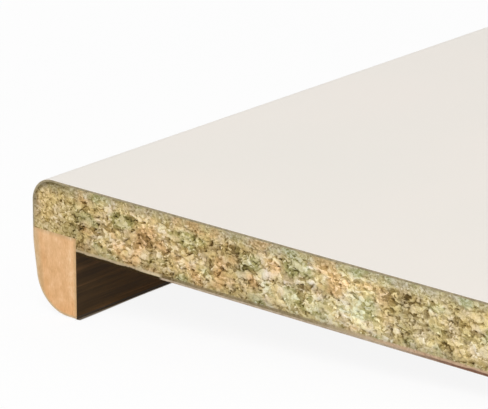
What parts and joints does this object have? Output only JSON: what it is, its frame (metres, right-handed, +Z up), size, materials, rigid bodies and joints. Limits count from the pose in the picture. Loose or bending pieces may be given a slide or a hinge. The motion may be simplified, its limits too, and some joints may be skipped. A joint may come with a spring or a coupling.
{
  "type": "window sill board",
  "caption": "White laminate-faced chipboard window sill board with a deep rounded front nose and a raw sawn rear edge and ends, laid over the wall below a window.",
  "frame": {"origin": "middle of the footprint, on the floor that the board lies on", "axes": "+X along the length, -Y towards the room (the nose side), +Y towards the wall, +Z up; the board lies on the inner arris of its nose and the bottom arris of its rear edge, so its top slopes 4.83 degrees down to the rear"},
  "size_m": [1, 0.2506, 0.0406],
  "materials": {
    "chipboard": "sawn raw edges",
    "mdf": "sawn raw ends, dark sealed back",
    "white_laminate": "satin",
    "brown_laminate": "matt"
  },
  "bodies": {
    "root": {"chipboard_core": "chipboard", "nose_strip": "mdf", "top_laminate": "white_laminate", "backing_laminate": "brown_laminate"}
  },
  "joints": []
}
